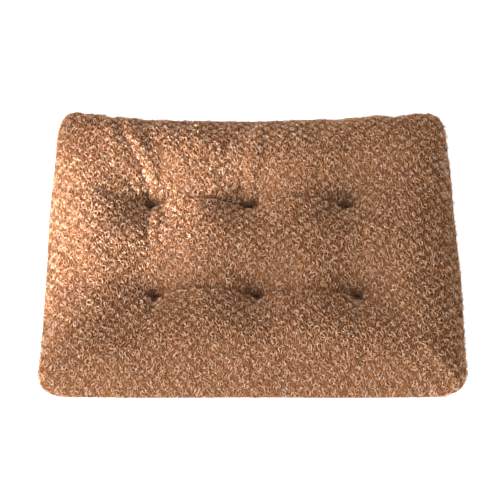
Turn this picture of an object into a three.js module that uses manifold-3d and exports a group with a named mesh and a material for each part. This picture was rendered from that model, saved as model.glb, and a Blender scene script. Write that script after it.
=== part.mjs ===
// A tufted pet cushion bed: a plush top cover and a plain base cover, sewn together round the
// perimeter over a pad of polyester fibre, with six thread ties that pull the two covers together.
// Millimetres, +Z up. The origin is on the floor under the middle of the cushion: +X runs along
// its length, and +Y towards its back edge.

import * as THREE from "three";
import { mergeVertices } from "three/addons/utils/BufferGeometryUtils.js";
import Module from "manifold-3d";

// Driving dimensions of the cushion.
const LENGTH = 914; // along X
const WIDTH = 690; // along Y
const LOFT = 99; // floor to the top of the padding between the ties
const CORNER_LIFT = 6; // the padding stands this much higher towards the corners
const SEAM_HEIGHT = 34; // floor to the middle of the perimeter seam
const CORNER_SQUARENESS = 3.6; // exponent of the plan's corners: 2 is round, and more is squarer

// Ties: three columns along the length and two rows, sewn a little out of line with each other.
const TIE_PITCH_X = 219;
const TIE_PITCH_Y = 221;
const TIE_SKEW = 7.5; // the back row lies this far to the left, and the front row to the right
const TIE_COLUMNS = { left: -1, middle: 0, right: 1 };
const TIE_ROWS = { back: 1, front: -1 };

// The pit that each tie pulls into the top, and the dimple that it pulls into the base.
const PIT_FLOOR_HEIGHT = 32;
const PIT_FLOOR_RADIUS = 13;
const PIT_SPREAD = 34; // distance past the pit's floor at which it is half as deep
const DIMPLE_DEPTH = 12;
const DIMPLE_RADIUS = 62;

// Thicknesses and clearances.
const PLUSH_THICKNESS = 7; // backing and pile
const BASE_THICKNESS = 2;
const SEAM_THICKNESS = 2.4; // both seam allowances, pressed together
const SEAM_ALLOWANCE = 10; // how far they reach inwards past the plush
const CLEARANCE = 0.4; // between sewn layers
const FILL_CLEARANCE = 1.2;
const FILL_RIM = 3; // half the height of the fill's edge, at the seam

// Thread ties.
const TIE_RADIUS = 2.2;
const TIE_HOLE_RADIUS = 3;
const STITCH_RADIUS = 2.4;
const STITCH_LENGTH = 13; // straight part of the bar of stitches at each end of a tie
const ROUND_SIDES = 10;

// The covers and the fill share one grid of cells, so their faces stay parallel.
const CELLS_PER_PITCH = 6;
const CELLS = {
  flatX: 10, // from the middle to where the sides start to roll over
  flatY: 7,
  roll: 4, // round the rolled side
};
const FLAT_X = (CELLS.flatX * TIE_PITCH_X) / CELLS_PER_PITCH;
const FLAT_Y = (CELLS.flatY * TIE_PITCH_Y) / CELLS_PER_PITCH;
const ROLL_X = LENGTH / 2 - FLAT_X;
const ROLL_Y = WIDTH / 2 - FLAT_Y;
const GATHER = 24; // how far the grid's lines are drawn towards the ties

const COLOURS = {
  plush: { color: 0x9f7458, roughness: 0.95, metalness: 0 },
  base: { color: 0x85644b, roughness: 0.9, metalness: 0 },
  fibre: { color: 0xefece4, roughness: 1, metalness: 0 },
  thread: { color: 0x5f4331, roughness: 0.8, metalness: 0 },
};

const wasm = await Module();
wasm.setup();

function tiePlaces() {
  return Object.entries(TIE_ROWS).flatMap(([row, j]) =>
    Object.entries(TIE_COLUMNS).map(([column, i]) => ({
      name: `tuft_tie_${row}_${column}`,
      x: i * TIE_PITCH_X - j * TIE_SKEW,
      y: (j * TIE_PITCH_Y) / 2,
    })),
  );
}

// The place of grid line i, in one direction: how far along the flat middle it is, and the angle
// by which the side has rolled over there, from 0 on top to a right angle at the seam.
function gridLine(i, flatCells, flatHalf, gathered) {
  const n = Math.abs(i);
  const along = (Math.min(n, flatCells) / flatCells) * flatHalf;
  return {
    sign: Math.sign(i),
    flat: n < flatCells ? gathered(along) : flatHalf,
    angle: (Math.max(n - flatCells, 0) / CELLS.roll) * (Math.PI / 2),
  };
}

function gatherX(x) {
  return x - GATHER * Math.sin((2 * Math.PI * x) / TIE_PITCH_X);
}

function gatherY(y) {
  return y + GATHER * Math.sin((2 * Math.PI * y) / TIE_PITCH_Y);
}

// How far the ties' skew moves a point along X: most at the two rows of ties, and nothing between
// them or towards the back and front edges.
function skewAt(y) {
  return Math.abs(y) < TIE_PITCH_Y ? -TIE_SKEW * Math.sin((Math.PI * y) / TIE_PITCH_Y) : 0;
}

// A unit vector in plan, stretched to the cushion's squarish corner.
function cornerDirection(turn) {
  const c = Math.cos(turn);
  const s = Math.sin(turn);
  const n = CORNER_SQUARENESS;
  const reach = (c ** n + s ** n) ** (-1 / n);
  return { c: c * reach, s: s * reach };
}

// The plan position of a grid point, and how far over the side has rolled there.
function planPoint(lineX, lineY, inset) {
  const roll = Math.max(lineX.angle, lineY.angle);
  let turn = 0;
  if (roll > 0 && lineX.angle >= lineY.angle) {
    turn = ((Math.PI / 4) * lineY.angle) / lineX.angle;
  } else if (roll > 0) {
    turn = Math.PI / 2 - ((Math.PI / 4) * lineX.angle) / lineY.angle;
  }
  const direction = cornerDirection(turn);
  const out = Math.sin(roll);
  const x = lineX.sign * (lineX.flat + (ROLL_X - inset) * out * direction.c * (lineX.angle > 0));
  const y = lineY.sign * (lineY.flat + (ROLL_Y - inset) * out * direction.s * (lineY.angle > 0));
  return { x: x + skewAt(y) * Math.cos(roll), y, roll };
}

// How much of the way to a pit's floor the top is pulled down, from 0 to 1.
function pitShare(x, y) {
  return tiePlaces().reduce((deepest, tie) => {
    const away = Math.max(Math.hypot(x - tie.x, y - tie.y) - PIT_FLOOR_RADIUS, 0);
    return Math.max(deepest, 1 / (1 + (away / PIT_SPREAD) ** 2));
  }, 0);
}

function dimpleDepth(x, y) {
  return tiePlaces().reduce((deepest, tie) => {
    const away = Math.max(Math.hypot(x - tie.x, y - tie.y) - PIT_FLOOR_RADIUS, 0);
    const share = Math.max(1 - (away / DIMPLE_RADIUS) ** 2, 0);
    return Math.max(deepest, DIMPLE_DEPTH * share * share);
  }, 0);
}

function cornerLift(x, y) {
  const share = (Math.abs(x) / (LENGTH / 2)) * (Math.abs(y) / (WIDTH / 2));
  return CORNER_LIFT * Math.min(share, 1);
}

// The cushion's upper skin, at a depth below its outer surface and with its edge at height rim.
function upperSkin({ x, y, roll }, depth, rim) {
  const padding = LOFT + cornerLift(x, y);
  const top = padding - (padding - PIT_FLOOR_HEIGHT) * pitShare(x, y) - depth;
  return new THREE.Vector3(x, y, rim + (top - rim) * Math.cos(roll));
}

// The lower skin: flat on the floor, curving up to its edge at height rim.
function lowerSkin({ x, y, roll }, depth, rim) {
  const bottom = dimpleDepth(x, y) + depth;
  return new THREE.Vector3(x, y, rim + (bottom - rim) * Math.cos(roll));
}

// A closed slab over the whole grid, between an upper and a lower surface. Each cell is split
// along its diagonal that points away from the middle, in both surfaces, so that the folds at the
// corners are straight and slabs laid on each other stay parallel.
function slab(upper, lower) {
  const endX = CELLS.flatX + CELLS.roll;
  const endY = CELLS.flatY + CELLS.roll;
  const columns = 2 * endX + 1;
  const rows = 2 * endY + 1;
  const points = [];
  for (const surface of [upper, lower]) {
    for (let j = -endY; j <= endY; j++) {
      for (let i = -endX; i <= endX; i++) {
        const lineX = gridLine(i, CELLS.flatX, FLAT_X, gatherX);
        const lineY = gridLine(j, CELLS.flatY, FLAT_Y, gatherY);
        points.push(surface(lineX, lineY));
      }
    }
  }
  const top = (i, j) => j * columns + i;
  const under = (i, j) => (rows + j) * columns + i;
  const triangles = [];
  const quad = (a, b, c, d) => triangles.push(a, b, c, a, c, d);
  for (let j = 0; j < rows - 1; j++) {
    for (let i = 0; i < columns - 1; i++) {
      if (i < endX === j < endY) {
        quad(top(i, j), top(i + 1, j), top(i + 1, j + 1), top(i, j + 1));
        quad(under(i + 1, j + 1), under(i + 1, j), under(i, j), under(i, j + 1));
      } else {
        quad(top(i + 1, j), top(i + 1, j + 1), top(i, j + 1), top(i, j));
        quad(under(i, j + 1), under(i + 1, j + 1), under(i + 1, j), under(i, j));
      }
    }
  }
  for (let i = 0; i < columns - 1; i++) {
    const k = rows - 1;
    quad(under(i, 0), under(i + 1, 0), top(i + 1, 0), top(i, 0));
    quad(under(i + 1, k), under(i, k), top(i, k), top(i + 1, k));
  }
  for (let j = 0; j < rows - 1; j++) {
    const k = columns - 1;
    quad(under(k, j), under(k, j + 1), top(k, j + 1), top(k, j));
    quad(under(0, j + 1), under(0, j), top(0, j), top(0, j + 1));
  }
  return new THREE.BufferGeometry().setFromPoints(points).setIndex(triangles);
}

function toSolid(geometry) {
  const bare = new THREE.BufferGeometry().setAttribute("position", geometry.attributes.position);
  bare.setIndex(geometry.index);
  const merged = mergeVertices(bare, 1e-4);
  return new wasm.Manifold(
    new wasm.Mesh({
      numProp: 3,
      vertProperties: new Float32Array(merged.attributes.position.array),
      triVerts: new Uint32Array(merged.index.array),
    }),
  );
}

function toGeometry(solid) {
  const mesh = solid.getMesh();
  const geometry = new THREE.BufferGeometry();
  geometry.setAttribute("position", new THREE.BufferAttribute(mesh.vertProperties, 3));
  geometry.setIndex(new THREE.BufferAttribute(mesh.triVerts, 1));
  geometry.computeVertexNormals();
  return geometry;
}

// A geometry with a round hole through it at every tie.
function withTieHoles(geometry) {
  return toGeometry(
    tiePlaces().reduce((solid, { x, y }) => {
      const drill = new THREE.CylinderGeometry(
        TIE_HOLE_RADIUS,
        TIE_HOLE_RADIUS,
        3 * LOFT,
        ROUND_SIDES,
      );
      drill.rotateX(Math.PI / 2);
      drill.translate(x, y, 0);
      return solid.subtract(toSolid(drill));
    }, toSolid(geometry)),
  );
}

function topCover() {
  const rim = SEAM_HEIGHT + SEAM_THICKNESS / 2 + CLEARANCE;
  return withTieHoles(
    slab(
      (a, b) => upperSkin(planPoint(a, b, 0), 0, rim),
      (a, b) => upperSkin(planPoint(a, b, PLUSH_THICKNESS), PLUSH_THICKNESS, rim),
    ),
  );
}

function baseCover() {
  const rim = SEAM_HEIGHT - SEAM_THICKNESS / 2 - CLEARANCE;
  return withTieHoles(
    slab(
      (a, b) => lowerSkin(planPoint(a, b, BASE_THICKNESS), BASE_THICKNESS, rim),
      (a, b) => lowerSkin(planPoint(a, b, 0), 0, rim),
    ),
  );
}

function fibreFill() {
  const inset = PLUSH_THICKNESS + SEAM_ALLOWANCE + FILL_CLEARANCE;
  const above = PLUSH_THICKNESS + FILL_CLEARANCE;
  const below = BASE_THICKNESS + FILL_CLEARANCE;
  return withTieHoles(
    slab(
      (a, b) => upperSkin(planPoint(a, b, inset), above, SEAM_HEIGHT + FILL_RIM),
      (a, b) => lowerSkin(planPoint(a, b, inset), below, SEAM_HEIGHT - FILL_RIM),
    ),
  );
}

// The cushion's outline in plan at the seam, moved inwards by inset.
function seamOutline(inset) {
  const steps = 2 * CELLS.roll;
  const points = [];
  for (let quarter = 0; quarter < 4; quarter++) {
    const signX = quarter === 0 || quarter === 3 ? 1 : -1;
    const signY = quarter < 2 ? 1 : -1;
    for (let k = 0; k <= steps; k++) {
      const forward = signX === signY;
      const turn = ((forward ? k : steps - k) / steps) * (Math.PI / 2);
      const { c, s } = cornerDirection(turn);
      points.push(
        new THREE.Vector2(
          signX * (FLAT_X + (ROLL_X - inset) * c),
          signY * (FLAT_Y + (ROLL_Y - inset) * s),
        ),
      );
    }
  }
  return points;
}

// The seam allowances of both covers, sewn together and turned inwards.
function perimeterSeam() {
  const shape = new THREE.Shape(seamOutline(0));
  shape.holes.push(new THREE.Path(seamOutline(PLUSH_THICKNESS + SEAM_ALLOWANCE)));
  const geometry = new THREE.ExtrudeGeometry(shape, {
    depth: SEAM_THICKNESS,
    bevelEnabled: false,
  });
  geometry.translate(0, 0, SEAM_HEIGHT - SEAM_THICKNESS / 2);
  return geometry;
}

// One tie: a bundle of threads through the cushion, ending in a bar of stitches at each cover.
function tuftTie() {
  const upper = PIT_FLOOR_HEIGHT + STITCH_RADIUS + CLEARANCE;
  const lower = DIMPLE_DEPTH - STITCH_RADIUS - CLEARANCE;
  const thread = new THREE.CylinderGeometry(TIE_RADIUS, TIE_RADIUS, upper - lower, ROUND_SIDES);
  thread.rotateX(Math.PI / 2);
  thread.translate(0, 0, (upper + lower) / 2);
  const bars = [upper, lower].map((height) => {
    const bar = new THREE.CapsuleGeometry(STITCH_RADIUS, STITCH_LENGTH, 3, ROUND_SIDES);
    bar.rotateZ(Math.PI / 2);
    bar.translate(0, 0, height);
    return toSolid(bar);
  });
  return toGeometry(bars.reduce((solid, bar) => solid.add(bar), toSolid(thread)));
}

function piece(name, geometry, look) {
  const mesh = new THREE.Mesh(geometry, new THREE.MeshStandardMaterial(look));
  mesh.name = name;
  return mesh;
}

const cushion = new THREE.Group();
cushion.add(piece("top_cover", topCover(), COLOURS.plush));
cushion.add(piece("base_cover", baseCover(), COLOURS.base));
cushion.add(piece("fibre_fill", fibreFill(), COLOURS.fibre));
cushion.add(piece("perimeter_seam", perimeterSeam(), COLOURS.thread));
for (const { name, x, y } of tiePlaces()) {
  const tie = piece(name, tuftTie(), COLOURS.thread);
  tie.position.set(x, y, 0);
  cushion.add(tie);
}

export default cushion;
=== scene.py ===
"""The looks of the tufted pet cushion bed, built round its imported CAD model.

The plush top is a sheet of cloth blown up against its ties by Blender's cloth simulation. Folds,
and then the curled locks of the pile, are laid on the result. The base, the seam, the fill and the
ties follow the same edge. Metres, in the CAD's frame: +X along the length, +Y to the back, +Z up.
"""

import math

import bpy
import numpy as np
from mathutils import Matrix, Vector


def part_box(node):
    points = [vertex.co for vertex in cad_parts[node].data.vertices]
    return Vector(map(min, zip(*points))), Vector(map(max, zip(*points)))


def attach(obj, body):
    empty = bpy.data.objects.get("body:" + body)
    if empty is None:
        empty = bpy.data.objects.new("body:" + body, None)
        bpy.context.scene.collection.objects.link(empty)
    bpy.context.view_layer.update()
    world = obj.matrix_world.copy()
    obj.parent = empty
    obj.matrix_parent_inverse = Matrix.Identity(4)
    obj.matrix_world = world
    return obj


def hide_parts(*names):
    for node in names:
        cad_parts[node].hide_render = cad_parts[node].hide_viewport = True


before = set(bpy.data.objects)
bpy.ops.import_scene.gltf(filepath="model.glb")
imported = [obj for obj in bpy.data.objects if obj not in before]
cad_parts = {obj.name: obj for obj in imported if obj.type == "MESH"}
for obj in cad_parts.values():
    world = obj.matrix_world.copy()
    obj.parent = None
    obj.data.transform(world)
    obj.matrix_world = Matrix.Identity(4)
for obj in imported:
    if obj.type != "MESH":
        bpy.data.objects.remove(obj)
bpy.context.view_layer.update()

# The cushion's shape: its size is read from the frame.
_, TOP_HIGH = (np.array(corner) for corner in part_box("top_cover"))
SEAM_LOW, SEAM_HIGH = (np.array(corner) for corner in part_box("perimeter_seam"))
HALF_X, HALF_Y = TOP_HIGH[0], TOP_HIGH[1]
SEAM_Z = (SEAM_LOW[2] + SEAM_HIGH[2]) / 2
CORNER_LIFT = 0.006  # how much higher than the middle the corners of the top are
LOFT = TOP_HIGH[2] - CORNER_LIFT / 2
CORNER_SQUARENESS = 3.6  # 2 would be an ellipse's corner
ROLL_X, ROLL_Y = 0.092, 0.087  # how far in from the edge the sides begin to roll over

# The ties: how far the pits reach, and the dimples below them.
BAR_HALF = 0.007  # half the length of the bar of stitches that holds a pit down
BAR_RISE = 0.004  # how far the bars of stitches stand out of the cloth
PIT_RADIUS = 0.004
PIT_HOLE = (0.68, 0.017)  # the pit's narrow part: its share of the depth, and how wide it spreads
PIT_BOWL = (0.32, 0.038)
DIMPLE_RADIUS = 0.072
PINNED_RADIUS = 0.005

# The cloth.
CELL = 0.006
CLOTH_INSET = 0.006  # the backing lies this far below the CAD cover's outside, under its pile
CLOTH_FRAMES = 22
CLOTH_CAP = 0.030  # the furthest that a point may move
SWELL = 0.012  # the cloth rises about this much, so it starts this much lower
RELAX_ROUNDS = 2
SAG_HEIGHT, SAG_LENGTH, SAG_WAVES = 0.0016, 0.06, 9  # long uneven waves in the cloth
SAG_CALM = 0.04  # which fade out this close to a tie
PUCKER_HEIGHT, PUCKER_LENGTH, PUCKER_WAVES = 0.0012, 0.022, 12  # short ones in the rolled base
BACKING_THICKNESS = 0.0012
BASE_THICKNESS = 0.0014
BASE_EDGE_DROP = 0.001  # how far the base's edge lies below the top's

# The fill.
FILL_GAP = 0.004  # from both covers
FILL_MARGIN = 3  # how many grid rings it stops short of the seam
FILL_REACH = 2  # it stays below the lowest place of the top within this many cells
FILL_DIP, FILL_DIP_RADIUS = 0.010, 0.045  # how much lower it lies at a tie, and how far round it

# The overlock thread over the seam: loops that reach out, and up and down, from just inside the edge.
THREAD_RADIUS = 0.0004
STITCH_PITCH = 0.0055
STITCH_OUT, STITCH_IN, STITCH_UP = 0.0024, 0.0004, 0.0019
STITCH_HALF_TURN = 0.62 * math.pi
STITCH_SLANT = 0.22  # of a pitch for each radian of the loop
STITCH_RINGS = 7
SEAM_DROP = 0.0005  # the seam's middle lies this far below the top's edge

# The ties: a bar of stitches at each end of three strands twisted together.
BAR_THREADS, BAR_RINGS = 5, 11
BAR_ARCH, BAR_HALF_WIDTH, BAR_WAVER = 0.0022, 0.0019, 0.0003
BAR_THREAD_RADIUS = 0.0008
BAR_SINK = 0.001  # how far below the strands' end a bar starts
STRAND_END = 0.002  # how far inside the tie's box the strands end
STRAND_OFFSET, STRAND_RADIUS = 0.001, 0.0009
STRAND_TURNS, STRAND_RINGS = 2.5, 31

# The pile: curled locks of fibre.
CURL_PITCH_X, CURL_PITCH_Y = 0.029, 0.013  # the locks lie round the centres of curls in rows
CURL_JITTER = 0.1  # of a pitch
CURL_LEAST_BEND = 0.0065  # the smallest radius that a lock is bent to
COMBED_SHARE = 0.6  # this share of the locks is combed one way instead
COMBED_HEADING = math.radians(-75)
HEADING_SPREAD = 0.45  # radians
CURL_CORE, CURL_EDGE = 0.005, 0.011  # locks this near a curl's centre are highest; beyond this, lowest
LIFT_CORE, LIFT_DROP = 1.08, 0.5
LOCK_SPACING = 0.0035  # there is a lock for each square of this side
LOCK_LENGTH = (0.0075, 0.0130)
LOCK_RADIUS = (0.00043, 0.00073)
LOCK_RISE = (0.0034, 0.0064)  # how high its crown stands
LOCK_CURL = (0.6, 1.3)  # how strongly it bends, as a share of its place's bend
LOCK_LEAN = (0.65, 1.5)  # 1 has the crown halfway along
LOCK_TIP = 0.45  # how thick its ends are, as a share of its middle
LOCK_RINGS = 6
LOCK_SIDES = 3
LOCK_SINK = 0.0006  # how far a lock's ends go into the backing
SHADE_LEAST, SHADE_OF_LOCK, SHADE_OF_CURL = 0.2, 0.65, 0.15
STRAY_SHARE, STRAY_EXTRA = 0.15, 0.9  # on the sides, some of the locks stand out further
PINCH_RADIUS = 0.018  # the pile is drawn tight, and darkened in painted shade, this far round a tie
CREASE_TIGHT, CREASE_CORE = 0.9, 0.65  # and this much in the core of the deepest crease, which is
# this share of the crease's half width
TIGHT_SHRINK, TIGHT_PAINTED_SHADE = 0.5, 0.9  # how much shorter a lock is where it is drawn tight, and how much darker in painted shade there
PILE_COLUMNS, PILE_ROWS = 7, 2  # patches that the pile is split into

random = np.random.default_rng(20)


# ---------------------------------------------------------------- small helpers


def smooth_step(t):
    t = np.clip(t, 0, 1)
    return t * t * (3 - 2 * t)


def unit(v):
    return v / np.maximum(np.linalg.norm(v, axis=-1, keepdims=True), 1e-12)


def grid_normals(points):
    """Upward unit normals of a grid of points, shape (rows, columns, 3)."""
    along = np.gradient(points, axis=1)
    across = np.gradient(points, axis=0)
    return unit(np.cross(along, across))


def new_object(name, vertices, faces):
    mesh = bpy.data.meshes.new(name)
    mesh.from_pydata(np.asarray(vertices).tolist(), [], np.asarray(faces).tolist())
    mesh.update()
    mesh.polygons.foreach_set("use_smooth", [True] * len(mesh.polygons))
    made = bpy.data.objects.new(name, mesh)
    bpy.context.scene.collection.objects.link(made)
    return made


def grid_faces(rows, columns, first=0):
    index = first + np.arange(rows * columns).reshape(rows, columns)
    corners = (index[:-1, :-1], index[:-1, 1:], index[1:, 1:], index[1:, :-1])
    return np.stack(corners, axis=-1).reshape(-1, 4)


def grid_border(rows, columns):
    """The indices round the edge of a grid, counter-clockwise seen from above."""
    index = np.arange(rows * columns).reshape(rows, columns)
    return np.concatenate([index[0, :-1], index[:-1, -1], index[-1, :0:-1], index[:0:-1, 0]])


def shell(name, outer, inner):
    """A closed skin between two grids of points; outer is the one whose normals point out."""
    rows, columns = outer.shape[:2]
    count = rows * columns
    border = grid_border(rows, columns)
    after = np.roll(border, -1)
    rim = np.stack([after, border, border + count, after + count], axis=-1)
    faces = np.concatenate([grid_faces(rows, columns), grid_faces(rows, columns, count)[:, ::-1], rim])
    return new_object(name, np.concatenate([outer.reshape(-1, 3), inner.reshape(-1, 3)]), faces)


def rings_round(centre, across, up, radius, sides, first_angle=0.0):
    """Rings of points round each point of a line, across and up from it: shape (..., sides, 3)."""
    angle = (first_angle + 2 * math.pi * np.arange(sides) / sides)[:, None]
    outward = across[..., None, :] * np.cos(angle) + up[..., None, :] * np.sin(angle)
    return centre[..., None, :] + outward * radius


def subdivided(piece):
    modifier = piece.modifiers.new("rounded", "SUBSURF")
    modifier.levels = 1
    modifier.render_levels = 1
    return piece


# ---------------------------------------------------------------- the plan and the skins


def tie_places():
    """The ties' names with their place in plan and their lowest and highest points."""
    places = {}
    for name in sorted(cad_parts):
        if name.startswith("tuft_tie"):
            low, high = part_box(name)
            places[name] = ((low.x + high.x) / 2, (low.y + high.y) / 2, low.z, high.z)
    return places


TIES = tie_places()
PIT_Z = max(top for _, _, _, top in TIES.values()) - BAR_RISE
DIMPLE_Z = min(low for _, _, low, _ in TIES.values()) + BAR_RISE


def grid_line(flat, roll, rise):
    """Places from the middle out: how far along the flat they are, and how far over they roll."""
    arc = math.pi / 2 * math.sqrt((roll**2 + rise**2) / 2)
    flat_cells = round(flat / CELL)
    roll_cells = round(arc / CELL)
    along = np.r_[np.linspace(0, flat, flat_cells + 1), np.full(roll_cells, flat)]
    angle = np.r_[np.zeros(flat_cells + 1), np.linspace(0, math.pi / 2, roll_cells + 1)[1:]]
    side = np.r_[-np.ones(len(along) - 1), 0, np.ones(len(along) - 1)]
    return side, np.r_[along[:0:-1], along], np.r_[angle[:0:-1], angle]


def corner_direction(turn):
    """The point of a rounded square of half side 1 that lies in the direction turn."""
    c, s = np.cos(turn), np.sin(turn)
    reach = (np.abs(c) ** CORNER_SQUARENESS + np.abs(s) ** CORNER_SQUARENESS) ** (-1 / CORNER_SQUARENESS)
    return c * reach, s * reach


def plan_grid(inset):
    """The grid's plan places, and how far over the side has rolled at each."""
    side_x, flat_x, angle_x = grid_line(HALF_X - ROLL_X, ROLL_X, LOFT - SEAM_Z)
    side_y, flat_y, angle_y = grid_line(HALF_Y - ROLL_Y, ROLL_Y, LOFT - SEAM_Z)
    side_x, side_y = np.meshgrid(side_x, side_y)
    flat_x, flat_y = np.meshgrid(flat_x, flat_y)
    angle_x, angle_y = np.meshgrid(angle_x, angle_y)
    roll = np.maximum(angle_x, angle_y)
    share = np.minimum(angle_x, angle_y) / np.where(roll > 0, roll, 1)
    turn = np.where(angle_x >= angle_y, math.pi / 4 * share, math.pi / 2 - math.pi / 4 * share)
    c, s = corner_direction(turn)
    out = np.sin(roll)
    x = side_x * (flat_x + (ROLL_X - inset) * out * c * (angle_x > 0))
    y = side_y * (flat_y + (ROLL_Y - inset) * out * s * (angle_y > 0))
    return x, y, roll


def away_from_ties(x, y):
    """How far each place is from the nearest tie's bar of stitches."""
    away = [
        np.hypot(np.maximum(np.abs(x - tx) - BAR_HALF, 0), y - ty) for tx, ty, _, _ in TIES.values()
    ]
    return np.min(away, axis=0)


def low_waves(x, y, height, shortest, count, source):
    """A sum of random long waves, about height high."""
    total = np.zeros_like(x)
    for _ in range(count):
        heading = source.uniform(0, 2 * math.pi)
        length = shortest * source.uniform(1, 3)
        phase = source.uniform(0, 2 * math.pi)
        along = x * math.cos(heading) + y * math.sin(heading)
        total += np.sin(2 * math.pi * along / length + phase)
    return total * height / math.sqrt(count)


def start_skin():
    """The top before the cloth simulation: its pits, its rolled sides and its edge at the seam."""
    x, y, roll = plan_grid(CLOTH_INSET)
    lift = CORNER_LIFT * np.minimum(np.abs(x) / HALF_X * np.abs(y) / HALF_Y, 1)
    top = LOFT + lift - CLOTH_INSET - SWELL
    away = np.maximum(away_from_ties(x, y) - PIT_RADIUS, 0)
    sunk = sum(share / (1 + (away / spread) ** 2) for share, spread in (PIT_HOLE, PIT_BOWL))
    top = top - (top - PIT_Z) * sunk
    waves = low_waves(x, y, SAG_HEIGHT, SAG_LENGTH, SAG_WAVES, np.random.default_rng(5))
    top = top + waves * smooth_step(away / SAG_CALM)
    z = SEAM_Z + (top - SEAM_Z) * np.cos(roll)
    return np.stack([x, y, z], axis=-1)


# ---------------------------------------------------------------- cloth simulation


def blown_up(start):
    """The start skin after air pressure has pushed the cloth against its ties and its edge."""
    rows, columns = start.shape[:2]
    flat = start.reshape(-1, 3)
    cloth = new_object("cloth", flat, grid_faces(rows, columns))
    pins = cloth.vertex_groups.new(name="pins")
    pinned = away_from_ties(flat[:, 0], flat[:, 1]) < PINNED_RADIUS
    pinned[grid_border(rows, columns)] = True
    pins.add(np.flatnonzero(pinned).tolist(), 1.0, "REPLACE")

    modifier = cloth.modifiers.new("cloth", "CLOTH")
    settings = modifier.settings
    settings.quality = 5
    settings.mass = 0.3
    settings.tension_stiffness = 15
    settings.compression_stiffness = 15
    settings.shear_stiffness = 5
    settings.bending_stiffness = 0.5
    settings.air_damping = 1
    settings.use_pressure = True
    settings.uniform_pressure_force = 4
    settings.shrink_min = -0.03  # the cloth is cut a little larger than its frame, so it wrinkles
    settings.shrink_max = -0.03
    settings.vertex_group_mass = "pins"
    settings.effector_weights.gravity = 0
    modifier.collision_settings.use_collision = False
    modifier.point_cache.frame_start = 1
    modifier.point_cache.frame_end = CLOTH_FRAMES
    scene = bpy.context.scene
    scene.frame_start, scene.frame_end = 1, CLOTH_FRAMES
    for step in range(1, CLOTH_FRAMES + 1):
        scene.frame_set(step)

    evaluated = cloth.evaluated_get(bpy.context.evaluated_depsgraph_get())
    end = np.empty(len(flat) * 3)
    evaluated.data.vertices.foreach_get("co", end)
    move = end.reshape(-1, 3) - flat
    length = np.linalg.norm(move, axis=1, keepdims=True)
    moved = flat + move * np.minimum(1, CLOTH_CAP / np.maximum(length, 1e-9))
    bpy.data.objects.remove(cloth)
    scene.frame_set(1)
    return moved.reshape(rows, columns, 3)


def relaxed(points, rounds):
    """The grid with its cell-sized ripples smoothed out, and its edge left as it is."""
    points = points.copy()
    for _ in range(rounds):
        around = points[:-2, 1:-1] + points[2:, 1:-1] + points[1:-1, :-2] + points[1:-1, 2:]
        points[1:-1, 1:-1] += 0.5 * (around / 4 - points[1:-1, 1:-1])
    return points


# ---------------------------------------------------------------- folds

FOLD_RIM, FOLD_RIM_SPREAD = 0.35, 2.2  # the cloth bulges beside a fold: how strongly and how widely
FOLD_START = 0.012  # a fold fades out this close to a tie

# Each fold: the points that it runs through, its depth (a ridge is negative), its half width, and
# how deep it is at its far end, as a share of its depth at its start.
TIE = {name.replace("tuft_tie_", ""): np.array(place[:2]) for name, place in TIES.items()}
FOLDS = [
    # between the ties of the back row and of the front row
    ([TIE["back_left"], TIE["back_middle"]], 0.012, 0.0065, 1.0),
    ([TIE["back_middle"], TIE["back_right"]], 0.006, 0.007, 1.0),
    ([TIE["front_left"], TIE["front_middle"]], 0.006, 0.008, 1.0),
    ([TIE["front_middle"], TIE["front_right"]], 0.005, 0.008, 1.0),
    # from the back left tie: a groove with a ridge beside it to the corner, and one to the front
    ([(-0.228, 0.125), (-0.252, 0.182), (-0.291, 0.247), (-0.312, 0.290)], 0.009, 0.011, 0.6),
    ([(-0.212, 0.130), (-0.230, 0.190), (-0.268, 0.258), (-0.290, 0.300)], -0.007, 0.012, 0.6),
    ([(-0.2265, 0.095), (-0.230, 0.050), (-0.235, -0.008)], 0.009, 0.0085, 0.2),
    ([(-0.212, 0.095), (-0.214, 0.050), (-0.222, -0.020)], -0.0035, 0.011, 0.4),
    # from the back middle tie to the back edge
    ([(-0.004, 0.125), (0.004, 0.200), (0.012, 0.300)], -0.007, 0.014, 0.4),
    ([(-0.022, 0.125), (-0.024, 0.170), (-0.022, 0.230)], 0.0075, 0.0085, 0.1),
    # from the back right tie
    ([(0.205, 0.125), (0.186, 0.180), (0.178, 0.240)], 0.0075, 0.0076, 0.1),
    ([(0.213, 0.125), (0.214, 0.190), (0.220, 0.250)], 0.006, 0.0068, 0.1),
    ([(0.222, 0.122), (0.245, 0.175), (0.262, 0.230)], 0.0075, 0.0076, 0.1),
    # from the front ties
    ([(-0.2135, -0.125), (-0.218, -0.180), (-0.226, -0.245)], 0.009, 0.0093, 0.2),
    ([(0.006, -0.125), (0.002, -0.180), (0.004, -0.225)], 0.009, 0.0085, 0.1),
    ([(0.020, -0.120), (0.052, -0.160), (0.078, -0.205)], 0.0075, 0.0085, 0.1),
    ([(0.228, -0.125), (0.226, -0.170), (0.218, -0.220)], 0.0075, 0.0085, 0.1),
    ([(0.238, -0.122), (0.262, -0.160), (0.292, -0.190)], 0.0075, 0.0085, 0.1),
    # the mitre at the front right corner
    ([(0.360, -0.250), (0.405, -0.296), (0.440, -0.328)], -0.009, 0.014, 0.45),
]

CREASES = FOLDS[:4]  # the ones between the ties

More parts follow.
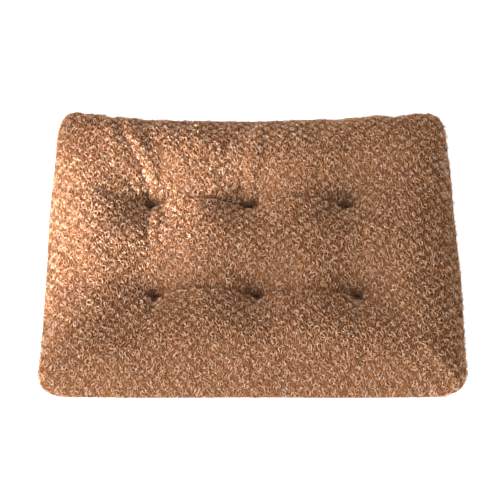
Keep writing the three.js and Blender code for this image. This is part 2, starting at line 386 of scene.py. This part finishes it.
# Lumps and hollows where the fill has shifted: place, radius, push along X, Y and Z.
LUMPS = [
    ((-0.448, 0.338), 0.045, (0.007, 0.018, 0.010)),
    ((-0.454, 0.344), 0.018, (-0.012, 0.010, 0.004)),
    ((-0.350, 0.330), 0.080, (0, 0.008, 0.004)),
    ((0.000, 0.310), 0.160, (0, -0.002, -0.006)),
    ((0.290, 0.310), 0.090, (0, 0.007, 0.007)),
    ((0.120, 0.330), 0.080, (0, 0.003, 0.002)),
    ((0.410, 0.330), 0.060, (0, 0.008, 0.006)),
    ((0.455, 0.290), 0.050, (-0.006, 0, 0)),
    ((0.450, -0.340), 0.030, (-0.006, 0.007, 0)),
    ((-0.020, -0.020), 0.060, (0, 0, 0.009)),
    ((-0.010, -0.055), 0.040, (0, 0, 0.006)),
    ((-0.050, -0.080), 0.040, (0, 0, 0.006)),
    ((-0.300, -0.190), 0.080, (0, 0, -0.010)),
    ((-0.430, 0.080), 0.110, (-0.004, 0, 0.003)),
    ((0.440, -0.080), 0.120, (0.004, 0, 0)),
    ((-0.200, -0.345), 0.200, (0, -0.003, 0)),
    ((0.200, -0.345), 0.200, (0, -0.003, 0)),
]


def along_path(x, y, points):
    """The distance of each place from a path, and how far along the path its nearest point is."""
    points = np.asarray(points, float)
    lengths = np.linalg.norm(np.diff(points, axis=0), axis=1)
    nearest = np.full(x.shape, np.inf)
    along = np.zeros(x.shape)
    done = 0
    for start, step, length in zip(points[:-1], np.diff(points, axis=0), lengths):
        t = np.clip(((x - start[0]) * step[0] + (y - start[1]) * step[1]) / length**2, 0, 1)
        away = np.hypot(x - start[0] - t * step[0], y - start[1] - t * step[1])
        closer = away < nearest
        nearest = np.where(closer, away, nearest)
        along = np.where(closer, (done + t * length) / lengths.sum(), along)
        done += length
    return nearest, along


def folded(points):
    """The simulated top with its folds pressed in along its normals."""
    x, y = points[..., 0], points[..., 1]
    press = np.zeros(x.shape)
    for path, depth, half_width, end_share in FOLDS:
        away, along = along_path(x, y, path)
        rim = np.exp(-((away / half_width / FOLD_RIM_SPREAD) ** 2))
        profile = np.exp(-((away / half_width) ** 2)) - FOLD_RIM * rim
        press += depth * (1 + (end_share - 1) * along) * profile / (1 - FOLD_RIM)
    edge = smooth_step(away_from_ties(x, y) / FOLD_START)
    return points - grid_normals(points) * (press * edge)[..., None]


def lumped(points):
    """The top with its lumps; their push along Z fades out down the sides."""
    moved = points.copy()
    for place, radius, push in LUMPS:
        away = np.hypot(points[..., 0] - place[0], points[..., 1] - place[1])
        share = np.exp(-((away / radius) ** 2))[..., None]
        height = smooth_step(points[..., 2:3] / LOFT)
        moved += np.array(push) * share * np.where([1, 1, 0], 1, height)
    return moved


# ---------------------------------------------------------------- materials


def new_material(name, roughness, sheen=0.0, sheen_tint=(1, 1, 1)):
    material = bpy.data.materials.new(name)
    material.use_nodes = True
    shader = material.node_tree.nodes["Principled BSDF"]
    shader.inputs["Roughness"].default_value = roughness
    shader.inputs["Sheen Weight"].default_value = sheen
    shader.inputs["Sheen Roughness"].default_value = 0.45
    shader.inputs["Sheen Tint"].default_value = (*sheen_tint, 1)
    shader.inputs["Specular IOR Level"].default_value = 0.25
    return material, material.node_tree, shader


def node(tree, kind, **values):
    made = tree.nodes.new(kind)
    for key, value in values.items():
        if key in made.inputs:
            made.inputs[key].default_value = value
        else:
            setattr(made, key, value)
    return made


def ramp(tree, factor, stops):
    """A colour ramp through stops of (place, colour)."""
    made = tree.nodes.new("ShaderNodeValToRGB")
    elements = made.color_ramp.elements
    while len(elements) < len(stops):
        elements.new(0.5)
    for element, (place, colour) in zip(elements, stops):
        element.position = place
        element.color = (*colour, 1)
    tree.links.new(factor, made.inputs["Fac"])
    return made.outputs["Color"]


def mixed_colour(tree, factor, first, second, blend="MIX"):
    made = tree.nodes.new("ShaderNodeMix")
    made.data_type = "RGBA"
    made.blend_type = blend
    sockets = (made.inputs["Factor"], made.inputs[6], made.inputs[7])
    for socket, value in zip(sockets, (factor, first, second)):
        if isinstance(value, bpy.types.NodeSocket):
            tree.links.new(value, socket)
        else:
            socket.default_value = value
    return made.outputs[2]


def bumped(tree, shader, height, strength, distance):
    made = node(tree, "ShaderNodeBump", Strength=strength, Distance=distance)
    tree.links.new(height, made.inputs["Height"])
    tree.links.new(made.outputs["Normal"], shader.inputs["Normal"])


def pile_material():
    """Tan fibre, with painted shade: dark at the roots of a lock, down among the others, and light on its
    crown; a little different in each, and darker in painted shade at the ties and creases.
    """
    material, tree, shader = new_material("plush_pile", 0.8, 0.28, (1.0, 0.74, 0.50))
    shader.inputs["Specular IOR Level"].default_value = 0.1
    rise = node(tree, "ShaderNodeAttribute", attribute_name="rise")
    shade = node(tree, "ShaderNodeAttribute", attribute_name="shade")
    # painted shade: the colour darkens down each lock towards its root, where it lies among the others
    colour = ramp(
        tree,
        rise.outputs["Fac"],
        [
            (0.0, (0.065, 0.014, 0.002)),
            (0.3, (0.270, 0.094, 0.026)),
            (0.55, (0.495, 0.242, 0.114)),
            (1.0, (0.575, 0.500, 0.425)),
        ],
    )
    # only the painted shade at the ties and creases reaches this ramp's darkest end; the rest is each
    # lock's own tone
    tint = ramp(
        tree,
        shade.outputs["Fac"],
        [(0.0, (0.16, 0.13, 0.11)), (0.3, (0.58, 0.53, 0.49)), (0.7, (0.90, 0.88, 0.86)), (1.0, (1, 1, 1))],
    )
    tree.links.new(mixed_colour(tree, 1.0, colour, tint, "MULTIPLY"), shader.inputs["Base Color"])
    place = node(tree, "ShaderNodeTexCoord")
    fibres = node(tree, "ShaderNodeTexNoise", Scale=1400.0, Detail=2.0)
    tree.links.new(place.outputs["Object"], fibres.inputs["Vector"])
    bumped(tree, shader, fibres.outputs["Fac"], 0.5, 0.0004)
    return material


def backing_material():
    """The knitted ground that the pile stands on, coloured dark as painted shade for the gaps between the
    locks.
    """
    material, tree, shader = new_material("plush_backing", 0.95)
    place = node(tree, "ShaderNodeTexCoord")
    knit = node(tree, "ShaderNodeTexVoronoi", Scale=420.0)
    tree.links.new(place.outputs["Object"], knit.inputs["Vector"])
    # painted shade: the ground's dark brown stands in for the shade down between the locks
    colour = ramp(
        tree, knit.outputs["Distance"], [(0.0, (0.150, 0.062, 0.026)), (0.8, (0.070, 0.028, 0.012))]
    )
    tree.links.new(colour, shader.inputs["Base Color"])
    bumped(tree, shader, knit.outputs["Distance"], 0.6, 0.0008)
    return material


def twill_material():
    """Plain brown twill: fine diagonal ribs, with a little variation in the dye."""
    material, tree, shader = new_material("base_twill", 0.85, 0.1, (0.9, 0.75, 0.6))
    place = node(tree, "ShaderNodeTexCoord")
    ribs = node(tree, "ShaderNodeTexWave", Scale=140.0, Distortion=0.6)
    ribs.inputs["Detail Scale"].default_value = 3.0
    ribs.bands_direction = "DIAGONAL"
    stains = node(tree, "ShaderNodeTexNoise", Scale=9.0, Detail=4.0)
    for texture in (ribs, stains):
        tree.links.new(place.outputs["Object"], texture.inputs["Vector"])
    colour = ramp(tree, ribs.outputs["Fac"], [(0.1, (0.135, 0.070, 0.036)), (0.9, (0.225, 0.125, 0.070))])
    dye = ramp(tree, stains.outputs["Fac"], [(0.3, (0.86, 0.84, 0.82)), (0.7, (1.0, 1.0, 1.0))])
    tree.links.new(mixed_colour(tree, 1.0, colour, dye, "MULTIPLY"), shader.inputs["Base Color"])
    bumped(tree, shader, ribs.outputs["Fac"], 0.5, 0.0006)
    return material


def fibre_material():
    """White polyester fibre."""
    material, tree, shader = new_material("fibre", 1.0)
    place = node(tree, "ShaderNodeTexCoord")
    tufts = node(tree, "ShaderNodeTexNoise", Scale=60.0, Detail=6.0, Distortion=1.5)
    tree.links.new(place.outputs["Object"], tufts.inputs["Vector"])
    colour = ramp(tree, tufts.outputs["Fac"], [(0.3, (0.72, 0.70, 0.66)), (0.7, (0.88, 0.87, 0.84))])
    tree.links.new(colour, shader.inputs["Base Color"])
    bumped(tree, shader, tufts.outputs["Fac"], 0.8, 0.003)
    return material


def thread_material(name, colour):
    """Spun thread or cut cloth edge: fine slanted plies."""
    material, tree, shader = new_material(name, 0.8, 0.1, (0.9, 0.75, 0.6))
    place = node(tree, "ShaderNodeTexCoord")
    plies = node(tree, "ShaderNodeTexWave", Scale=260.0, Distortion=1.0)
    plies.bands_direction = "DIAGONAL"
    tree.links.new(place.outputs["Object"], plies.inputs["Vector"])
    dark = tuple(0.6 * c for c in colour)
    plied = ramp(tree, plies.outputs["Fac"], [(0.0, dark), (1.0, colour)])
    tree.links.new(plied, shader.inputs["Base Color"])
    bumped(tree, shader, plies.outputs["Fac"], 0.5, 0.0003)
    return material


# ---------------------------------------------------------------- the pile


def lock_sites(points):
    """Random places all over a grid of points, with even density: cell row, cell column, and u, v."""
    along = points[:-1, 1:] - points[:-1, :-1]
    across = points[1:, :-1] - points[:-1, :-1]
    area = np.linalg.norm(np.cross(along, across), axis=-1)
    wanted = area / LOCK_SPACING**2
    count = np.floor(wanted + random.random(area.shape)).astype(int)
    row, column = np.nonzero(count)
    times = count[row, column]
    row, column = np.repeat(row, times), np.repeat(column, times)
    u, v = random.random(len(row)), random.random(len(row))
    return row, column, u, v


def between(values, row, column, u, v):
    """Values of a grid at places inside its cells."""
    u, v = u[:, None], v[:, None]
    low = values[row, column] * (1 - u) + values[row, column + 1] * u
    high = values[row + 1, column] * (1 - u) + values[row + 1, column + 1] * u
    return low * (1 - v) + high * v


def nearest_curls(x, y):
    """The nearest curl's centre to each place: its distance and bearing, its turn and its tone."""
    source = np.random.default_rng(11)
    reach = 1.2 * HALF_X
    count = math.ceil(2 * reach / CURL_PITCH_Y)
    jitter = source.uniform(-CURL_JITTER, CURL_JITTER, (count, count, 2))
    turns = source.choice([-1, 1], (count, count))
    tones = source.random((count, count))
    row = ((y + reach) / CURL_PITCH_Y).astype(int)
    column = ((x + reach) / CURL_PITCH_X).astype(int)
    nearest = np.full(x.shape, np.inf)
    bearing, turn, tone = np.zeros((3, *x.shape))
    for j in (row - 1, row, row + 1):
        for i in (column - 1, column, column + 1, column + 2):
            from_x = x + reach - (i + 0.5 * (j % 2) + jitter[j, i, 0]) * CURL_PITCH_X
            from_y = y + reach - (j + 0.5 + jitter[j, i, 1]) * CURL_PITCH_Y
            away = np.hypot(from_x, from_y)
            closer = away < nearest
            nearest = np.where(closer, away, nearest)
            bearing = np.where(closer, np.arctan2(from_y, from_x), bearing)
            turn = np.where(closer, turns[j, i], turn)
            tone = np.where(closer, tones[j, i], tone)
    return nearest, bearing, turn, tone


def pinched(x, y):
    """How tightly the cloth is drawn in, from 0 to 1: at the ties and along the creases between them. The
    locks are shortened by it, and darkened by it in painted shade.
    """
    tight = 1 - smooth_step(away_from_ties(x, y) / PINCH_RADIUS)
    deepest = max(depth for _, depth, _, _ in CREASES)
    for path, depth, half_width, _ in CREASES:
        away, _ = along_path(x, y, path)
        core = np.exp(-((away / half_width / CREASE_CORE) ** 2))
        tight = np.maximum(tight, CREASE_TIGHT * depth / deepest * core)
    return tight


def lock_curves(length, heading, curl):
    """Each lock's curve in the plane of the backing: how far it runs, and how far to the side."""
    s = np.linspace(0, 1, LOCK_RINGS)[None, :]
    turn = heading[:, None] + curl[:, None] * (s - 0.5)
    step = length[:, None] / (LOCK_RINGS - 1)
    run = np.cumsum(np.cos(turn) * step, axis=1)
    side = np.cumsum(np.sin(turn) * step, axis=1)
    return run - run.mean(axis=1, keepdims=True), side - side.mean(axis=1, keepdims=True)


def lock_tubes(base, normal, heading, bend, lift, tight):
    """The vertices of curled locks, shape (locks, rings, sides, 3), with how far each has risen."""
    count = len(base)
    length = random.uniform(*LOCK_LENGTH, count) * (1 - TIGHT_SHRINK * tight)
    radius = random.uniform(*LOCK_RADIUS, count)
    crown = random.uniform(*LOCK_RISE, count) * (1 - TIGHT_SHRINK * tight) * lift
    stray = random.random(count) < STRAY_SHARE
    crown *= 1 + STRAY_EXTRA * stray * smooth_step(1 - normal[:, 2])
    run, side = lock_curves(length, heading, bend * length * random.uniform(*LOCK_CURL, count))
    s = np.linspace(0, 1, LOCK_RINGS)[None, :]
    lean = random.uniform(*LOCK_LEAN, count)[:, None]
    rise = crown[:, None] * np.clip(np.sin(math.pi * s**lean), 0, 1) ** 0.8 - LOCK_SINK

    first = unit(np.cross(np.array([0.0, 1.0, 0.0])[None, :], normal))
    second = np.cross(normal, first)
    centre = (
        base[:, None, :]
        + first[:, None, :] * run[..., None]
        + second[:, None, :] * side[..., None]
        + normal[:, None, :] * rise[..., None]
    )
    direction = unit(np.gradient(centre, axis=1))
    across = unit(np.cross(normal[:, None, :], direction))
    up = np.cross(direction, across)
    thick = radius[:, None] * (LOCK_TIP + (1 - LOCK_TIP) * np.sin(math.pi * s) ** 0.6)
    vertices = rings_round(centre, across, up, thick[:, :, None, None], LOCK_SIDES, math.pi / 2)
    return vertices, np.clip(rise / LOCK_RISE[1], 0, 1)


def lock_faces():
    """One lock's faces: the quads round it, all the corners in a row, and each face's size."""
    ring = np.arange(LOCK_RINGS - 1)[:, None] * LOCK_SIDES
    side = np.arange(LOCK_SIDES)[None, :]
    after = (side + 1) % LOCK_SIDES
    quads = np.stack([ring + side, ring + after, ring + LOCK_SIDES + after, ring + LOCK_SIDES + side], -1)
    quads = quads.reshape(-1, 4)
    last = (LOCK_RINGS - 1) * LOCK_SIDES
    caps = np.array([np.arange(LOCK_SIDES)[::-1], last + np.arange(LOCK_SIDES)])
    loops = np.concatenate([quads.ravel(), caps.ravel()])
    sizes = np.r_[np.full(len(quads), 4), np.full(2, LOCK_SIDES)]
    return quads, loops, sizes


def lock_uv(quads, loops, count):
    """A square cell for each lock, with its length up the cell and its sides across it."""
    cells = math.ceil(math.sqrt(count))
    side_of = loops % LOCK_SIDES
    wraps = np.zeros(len(loops), bool)
    wraps[: quads.size] = (quads[:, [1]] % LOCK_SIDES == 0).repeat(4, 1).ravel()
    across = np.where(wraps & (side_of == 0), LOCK_SIDES, side_of) / LOCK_SIDES
    local = np.stack([across, loops // LOCK_SIDES / (LOCK_RINGS - 1)], -1) * 0.8 + 0.1
    corner = np.stack([np.arange(count) % cells, np.arange(count) // cells], -1)
    return (corner[:, None, :] + local[None, :, :]) / cells


def pile_patch(name, vertices, height, shade, material):
    """One patch of locks as one mesh, each lock with a cell of its own in the UV map."""
    count = len(vertices)
    per_lock = LOCK_RINGS * LOCK_SIDES
    quads, loops, sizes = lock_faces()
    first = np.arange(count)[:, None] * per_lock
    all_loops = (first + loops[None, :]).ravel()
    all_sizes = np.tile(sizes, count)
    mesh = bpy.data.meshes.new(name)
    mesh.vertices.add(count * per_lock)
    mesh.vertices.foreach_set("co", vertices.reshape(-1).astype(np.float32))
    mesh.loops.add(len(all_loops))
    mesh.loops.foreach_set("vertex_index", all_loops.astype(np.int32))
    mesh.polygons.add(len(all_sizes))
    starts = np.concatenate([[0], np.cumsum(all_sizes)[:-1]])
    mesh.polygons.foreach_set("loop_start", starts.astype(np.int32))
    mesh.polygons.foreach_set("use_smooth", np.ones(len(all_sizes), bool))
    mesh.update(calc_edges=True)

    rise = mesh.attributes.new("rise", "FLOAT", "POINT")
    rise.data.foreach_set("value", np.repeat(height.ravel(), LOCK_SIDES).astype(np.float32))
    # each lock's own random tone, darkened in painted shade at the ties and creases
    tone = mesh.attributes.new("shade", "FLOAT", "POINT")
    tone.data.foreach_set("value", np.repeat(shade, per_lock).astype(np.float32))

    layer = mesh.uv_layers.new(name="OFBake")
    layer.data.foreach_set("uv", lock_uv(quads, loops, count).reshape(-1).astype(np.float32))
    mesh.materials.append(material)
    patch = bpy.data.objects.new(name, mesh)
    bpy.context.scene.collection.objects.link(patch)
    return patch


def pile(points):
    """The locks of the whole top, in patches."""
    row, column, u, v = lock_sites(points)
    base = between(points, row, column, u, v)
    normal = unit(between(grid_normals(points), row, column, u, v))
    away, bearing, turn, tone = nearest_curls(base[:, 0], base[:, 1])
    combed = random.random(len(base)) < COMBED_SHARE
    heading = np.where(combed, COMBED_HEADING, bearing + turn * math.pi / 2)
    heading += random.normal(0, HEADING_SPREAD, len(base))
    lift = LIFT_CORE - LIFT_DROP * smooth_step((away - CURL_CORE) / (CURL_EDGE - CURL_CORE))
    tight = pinched(base[:, 0], base[:, 1])
    bend = turn / np.maximum(away, CURL_LEAST_BEND)
    vertices, height = lock_tubes(base, normal, heading, bend, lift, tight)
    shade = SHADE_LEAST + SHADE_OF_LOCK * random.random(len(base)) + SHADE_OF_CURL * tone
    # painted shade: the locks are darkened where the cloth is drawn tight, at the ties and along the
    # creases between them
    shade *= 1 - TIGHT_PAINTED_SHADE * tight
    material = pile_material()
    patch_x = np.clip(((base[:, 0] / HALF_X + 1) / 2 * PILE_COLUMNS).astype(int), 0, PILE_COLUMNS - 1)
    patch_y = np.clip(((base[:, 1] / HALF_Y + 1) / 2 * PILE_ROWS).astype(int), 0, PILE_ROWS - 1)
    patches = []
    for j, side in enumerate(("front", "back")):
        for i in range(PILE_COLUMNS):
            chosen = (patch_x == i) & (patch_y == j)
            name = f"pile_{side}_{i + 1}"
            patches.append(pile_patch(name, vertices[chosen], height[chosen], shade[chosen], material))
    return patches


# ---------------------------------------------------------------- the other pieces


def tubes(name, paths, radius, sides=5):
    """Round threads of one radius along paths of equal length, shape (threads, rings, 3)."""
    paths = np.asarray(paths, float)
    count, rings = paths.shape[:2]
    direction = unit(np.gradient(paths, axis=1))
    helper = np.where(np.abs(direction[..., 2:3]) > 0.8, [1.0, 0.0, 0.0], [0.0, 0.0, 1.0])
    across = unit(np.cross(helper, direction))
    up = np.cross(direction, across)
    vertices = rings_round(paths, across, up, radius, sides)
    row = np.arange(rings - 1)[:, None] * sides
    side = np.arange(sides)[None, :]
    after = (side + 1) % sides
    quads = np.stack([row + side, row + after, row + sides + after, row + sides + side], -1).reshape(-1, 4)
    first = np.arange(count) * rings * sides
    faces = (first[:, None, None] + quads[None]).reshape(-1, 4).tolist()
    for start in first.tolist():
        faces.append([start + k for k in reversed(range(sides))])
        faces.append([start + (rings - 1) * sides + k for k in range(sides)])
    mesh = bpy.data.meshes.new(name)
    mesh.from_pydata(vertices.reshape(-1, 3).tolist(), [], faces)
    mesh.polygons.foreach_set("use_smooth", [True] * len(mesh.polygons))
    made = bpy.data.objects.new(name, mesh)
    bpy.context.scene.collection.objects.link(made)
    return made


def base_skin(top):
    """The underside: flat on the floor with a dimple at each tie, curving up to the top's edge."""
    x, y, roll = plan_grid(CLOTH_INSET)
    edge = smooth_step(np.sin(roll))
    x = x + (top[..., 0] - x) * edge
    y = y + (top[..., 1] - y) * edge
    away = np.maximum(away_from_ties(x, y) - PIT_RADIUS, 0)
    dimple = DIMPLE_Z * np.maximum(1 - (away / DIMPLE_RADIUS) ** 2, 0) ** 2
    pucker = low_waves(x, y, PUCKER_HEIGHT, PUCKER_LENGTH, PUCKER_WAVES, np.random.default_rng(3))
    pucker = pucker * np.sin(2 * roll)
    z = SEAM_Z - BASE_EDGE_DROP + (dimple - SEAM_Z) * np.cos(roll)
    return np.stack([x, y, np.maximum(z + pucker, BASE_THICKNESS)], axis=-1)


def plush_top(top):
    """The knitted backing of the plush, and its pile."""
    backing = subdivided(shell("plush_top", top, top - grid_normals(top) * BACKING_THICKNESS))
    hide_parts("top_cover")
    return [backing] + pile(top)


def base_panel(bottom):
    panel = subdivided(shell("base_panel", bottom + grid_normals(bottom) * BASE_THICKNESS, bottom))
    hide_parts("base_cover")
    return [panel]


def fibre_pad(top, bottom):
    """The fill, a little inside both covers."""
    kept = slice(FILL_MARGIN, -FILL_MARGIN, 2)
    window = 2 * FILL_REACH + 1
    nearby = [np.roll(top[..., 2], shift, (0, 1)) for shift in np.ndindex(window, window)]
    sunk = top.copy()
    sunk[..., 2] = np.roll(np.min(nearby, axis=0), (-FILL_REACH, -FILL_REACH), (0, 1)) - FILL_GAP
    upper = sunk[kept, kept]
    lower = (bottom + grid_normals(bottom) * FILL_GAP)[kept, kept]
    away = away_from_ties(upper[..., 0], upper[..., 1])
    upper[..., 2] -= FILL_DIP * (1 - smooth_step(away / FILL_DIP_RADIUS))
    upper[..., 2] = np.maximum(upper[..., 2], lower[..., 2] + FILL_GAP / 2)
    pad = shell("fibre_pad", upper, lower)
    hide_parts("fibre_fill")
    return [pad]


def overlock_thread(rim, out, tangent):
    """A loop of thread round the seam's lip at each stitch."""
    lengths = np.r_[0, np.cumsum(np.linalg.norm(np.diff(rim, axis=0, append=rim[:1]), axis=1))]
    stitches = round(lengths[-1] / STITCH_PITCH)
    at = np.arange(stitches) / stitches * lengths[-1]
    closed = [np.interp(at, lengths, np.r_[v, v[:1]]) for v in (*rim.T, *out.T, *tangent.T)]
    place, outward, forward = (np.stack(closed[i : i + 3], -1) for i in (0, 3, 6))
    turn = np.linspace(-STITCH_HALF_TURN, STITCH_HALF_TURN, STITCH_RINGS)[None, :, None]
    loops = (
        place[:, None, :]
        + outward[:, None, :] * (STITCH_OUT * np.cos(turn) - STITCH_IN)
        + forward[:, None, :] * turn * STITCH_PITCH * STITCH_SLANT
        + np.array([0, 0, 1]) * (STITCH_UP * np.sin(turn) - SEAM_DROP)
    )
    return tubes("seam_thread", loops, THREAD_RADIUS)


def seam_ring(top):
    """The two seam allowances turned inwards, with a lip that just shows, and the thread over it."""
    rim = top.reshape(-1, 3)[grid_border(*top.shape[:2])]
    tangent = unit(np.roll(rim, -1, axis=0) - np.roll(rim, 1, axis=0))
    out = unit(np.cross(tangent, np.array([0.0, 0.0, 1.0])))
    # how far out and how far up each corner of the ring's section is
    section = [(0.0016, 0.0), (0.0010, 0.0010), (-0.012, 0.0012), (-0.012, -0.0012), (0.0010, -0.0010)]
    lines = [rim + out * o + np.array([0, 0, h - SEAM_DROP]) for o, h in section]
    count, sides = len(rim), len(section)
    vertices = np.stack(lines, axis=1).reshape(-1, 3)
    k = np.arange(count)[:, None] * sides
    after_k = ((np.arange(count) + 1) % count)[:, None] * sides
    side = np.arange(sides)[None, :]
    after = (side + 1) % sides
    faces = np.stack([k + side, k + after, after_k + after, after_k + side], -1).reshape(-1, 4)
    ring = new_object("seam_allowance", vertices, faces[:, ::-1])
    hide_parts("perimeter_seam")
    return [ring, overlock_thread(rim, out, tangent)]


def bar_of_stitches(height, upward):
    """Threads side by side, each arched along X, with its ends going into the cloth."""
    s = np.linspace(-1, 1, BAR_RINGS)
    arch = height + upward * BAR_ARCH * (1 - s**4)
    threads = []
    for row in np.linspace(-1, 1, BAR_THREADS):
        wavy = row * BAR_HALF_WIDTH + BAR_WAVER * np.sin(5 * s + row)
        threads.append(np.stack([s * BAR_HALF, wavy, arch], -1))
    return threads


def tie(name, place):
    """Three threads twisted together through the cushion, and a bar of stitches at each end."""
    x, y, low, high = place
    bottom, top = low + STRAND_END, high - STRAND_END
    paths = bar_of_stitches(top - BAR_SINK, 1) + bar_of_stitches(bottom + BAR_SINK, -1)
    s = np.linspace(0, 1, STRAND_RINGS)
    strands = []
    for start in range(3):
        turn = 2 * math.pi * (STRAND_TURNS * s + start / 3)
        rise = bottom + (top - bottom) * s
        strands.append(np.stack([STRAND_OFFSET * np.cos(turn), STRAND_OFFSET * np.sin(turn), rise], -1))
    paths, strands = np.array(paths) + [x, y, 0], np.array(strands) + [x, y, 0]
    bars = tubes(name.replace("tuft_tie", "tuft_bars"), paths, BAR_THREAD_RADIUS, 7)
    column = tubes(name.replace("tuft_tie", "tuft_thread"), strands, STRAND_RADIUS, 6)
    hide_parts(name)
    return [bars, column]


def finished(pieces, material):
    for piece in pieces:
        if not piece.data.materials:
            piece.data.materials.append(material)
        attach(piece, "root")


def build():
    start = start_skin()
    top = blown_up(start)
    top = lumped(folded(relaxed(top, RELAX_ROUNDS)))
    bottom = base_skin(top)
    finished(plush_top(top), backing_material())
    finished(base_panel(bottom), twill_material())
    finished(fibre_pad(top, bottom), fibre_material())
    finished(seam_ring(top), thread_material("seam_cloth", (0.16, 0.075, 0.036)))
    ties = [piece for name, place in TIES.items() for piece in tie(name, place)]
    # the tie thread is partly its own dark brown, and is darkened further to near-black as painted shade of
    # the deep pit that it sits in
    finished(ties, thread_material("tie_thread", (0.022, 0.011, 0.006)))


# ---------------------------------------------------------------- the studio


def aimed(thing, place, target):
    thing.location = place
    thing.rotation_euler = (Vector(target) - Vector(place)).to_track_quat("-Z", "Y").to_euler()
    bpy.context.scene.collection.objects.link(thing)
    return thing


def from_target(target, azimuth, elevation, distance):
    """The place at that distance from target, at an azimuth and an elevation in degrees."""
    turn, rise = math.radians(azimuth), math.radians(elevation)
    flat = distance * math.cos(rise)
    return (
        target[0] + flat * math.cos(turn),
        target[1] + flat * math.sin(turn),
        target[2] + distance * math.sin(rise),
    )


def camera():
    """A camera in front of the cushion that looks down on it."""
    data = bpy.data.cameras.new("camera")
    data.lens = 91.0
    data.sensor_width = 36
    target = (-0.0058, 0.0, 0.040)
    place = from_target(target, azimuth=-90, elevation=63.5, distance=2.80)
    bpy.context.scene.camera = aimed(bpy.data.objects.new("camera", data), place, target)


def area_light(name, target, azimuth, elevation, distance, size, power, spread=180):
    data = bpy.data.lights.new(name, "AREA")
    data.shape = "RECTANGLE"
    data.size, data.size_y = size
    data.energy = power
    data.spread = math.radians(spread)
    place = from_target(target, azimuth, elevation, distance)
    lamp = aimed(bpy.data.objects.new(name, data), place, target)
    lamp.visible_camera = False


def studio():
    area_light("window", (-0.28, 0.095, 0.09), 213, 22, 1.6, (0.32, 0.20), 1.85, 9)
    area_light("side", (0, 0, 0.05), 204, 30, 2.6, (1.2, 1.2), 97)
    area_light("fill", (0, 0, 0.05), -108, 14, 3.0, (2.4, 1.0), 140)
    world = bpy.data.worlds.new("world")
    bpy.context.scene.world = world
    world.use_nodes = True
    world.node_tree.nodes["Background"].inputs["Color"].default_value = (1, 1, 1, 1)
    world.node_tree.nodes["Background"].inputs["Strength"].default_value = 1.45
    corners = [(-8, -8, 0), (8, -8, 0), (8, 8, 0), (-8, 8, 0)]
    floor = new_object("floor", corners, [(0, 1, 2, 3)])
    material, _, shader = new_material("floor", 0.9)
    shader.inputs["Base Color"].default_value = (0.97, 0.97, 0.97, 1)
    shader.inputs["Emission Color"].default_value = (1, 1, 1, 1)
    shader.inputs["Emission Strength"].default_value = 0.12
    floor.data.materials.append(material)
    bpy.context.scene.view_settings.view_transform = "Standard"


camera()
build()
studio()
